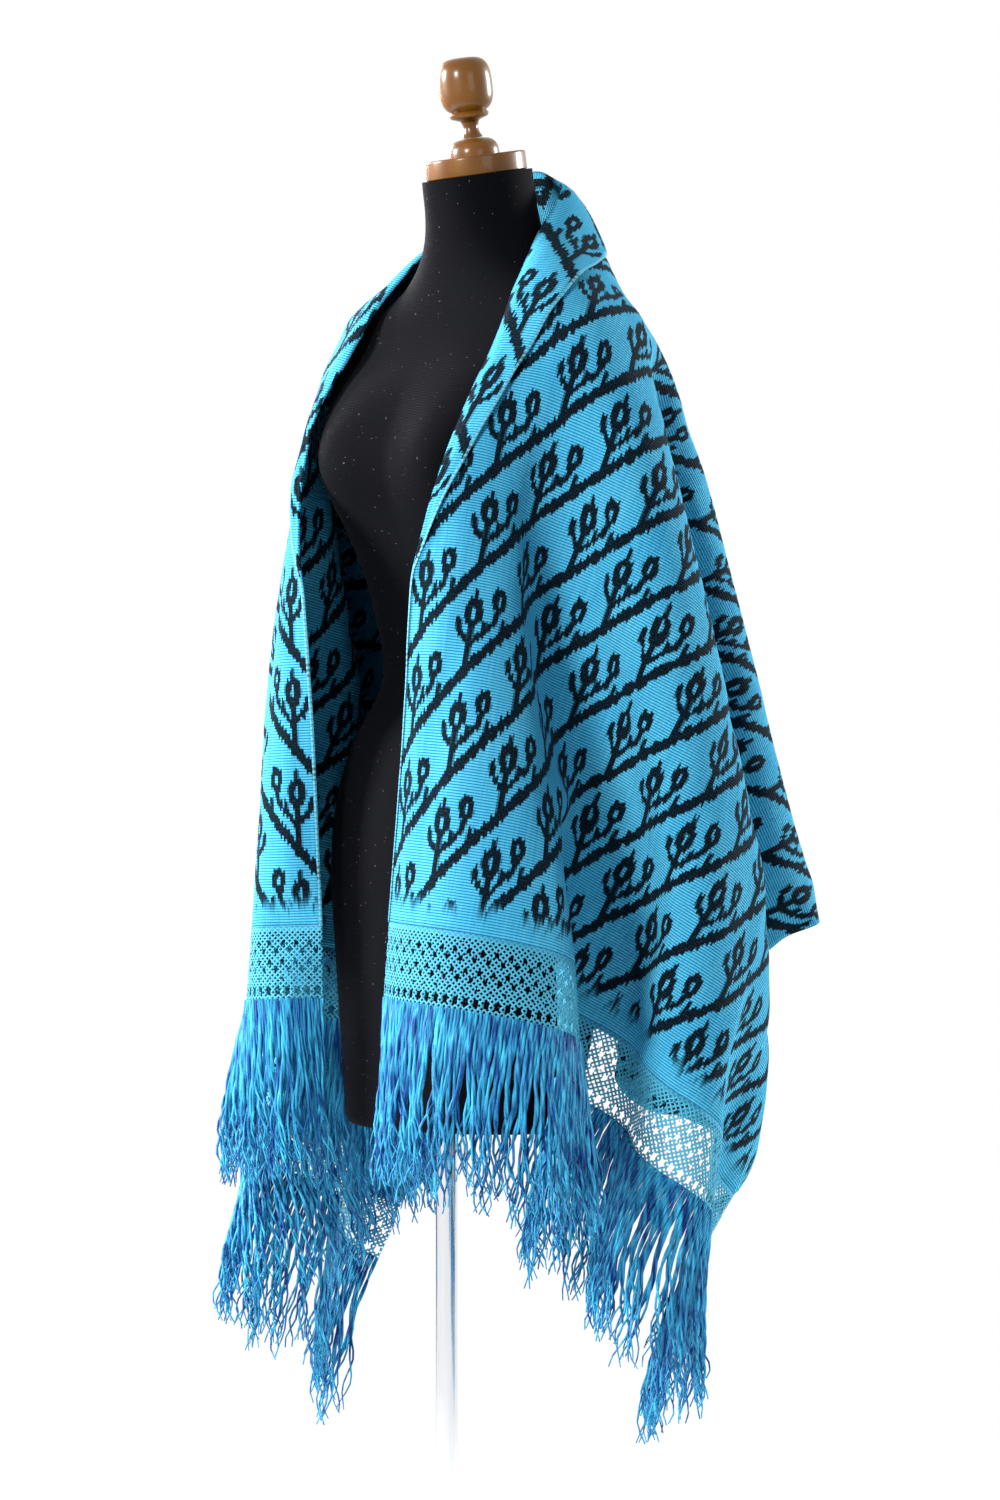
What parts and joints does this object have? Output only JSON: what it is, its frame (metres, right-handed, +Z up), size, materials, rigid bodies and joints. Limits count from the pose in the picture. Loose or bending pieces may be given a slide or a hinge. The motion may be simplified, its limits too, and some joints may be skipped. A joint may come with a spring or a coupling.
{
  "type": "shawl on dress form",
  "caption": "Woven shawl with knotted net ends and a long fringe, its upper edge folded into a collar, draped over a limbless dress form on a round stand.",
  "frame": {"origin": "middle of the base's underside, on the floor", "axes": "+Z up along the pole; the form faces -Y; its left side is +X"},
  "size_m": [0.5715, 0.4793, 1.5997],
  "materials": {
    "cloth": "matt",
    "net": "matt",
    "fringe": "silky",
    "jersey": "matt",
    "turned_wood": "gloss varnish",
    "stand_wood": "satin varnish",
    "pole_steel": "polished"
  },
  "bodies": {
    "root": {"shawl_right": "cloth", "shawl_back": "cloth", "shawl_left": "cloth", "collar_right": "cloth", "collar_back": "cloth", "collar_left": "cloth", "net_left": "net", "net_right": "net", "fringe_left": "fringe", "fringe_right": "fringe", "form_body": "jersey", "neck_cap": "turned_wood", "finial": "turned_wood", "base": "stand_wood", "pole": "pole_steel"}
  },
  "joints": []
}
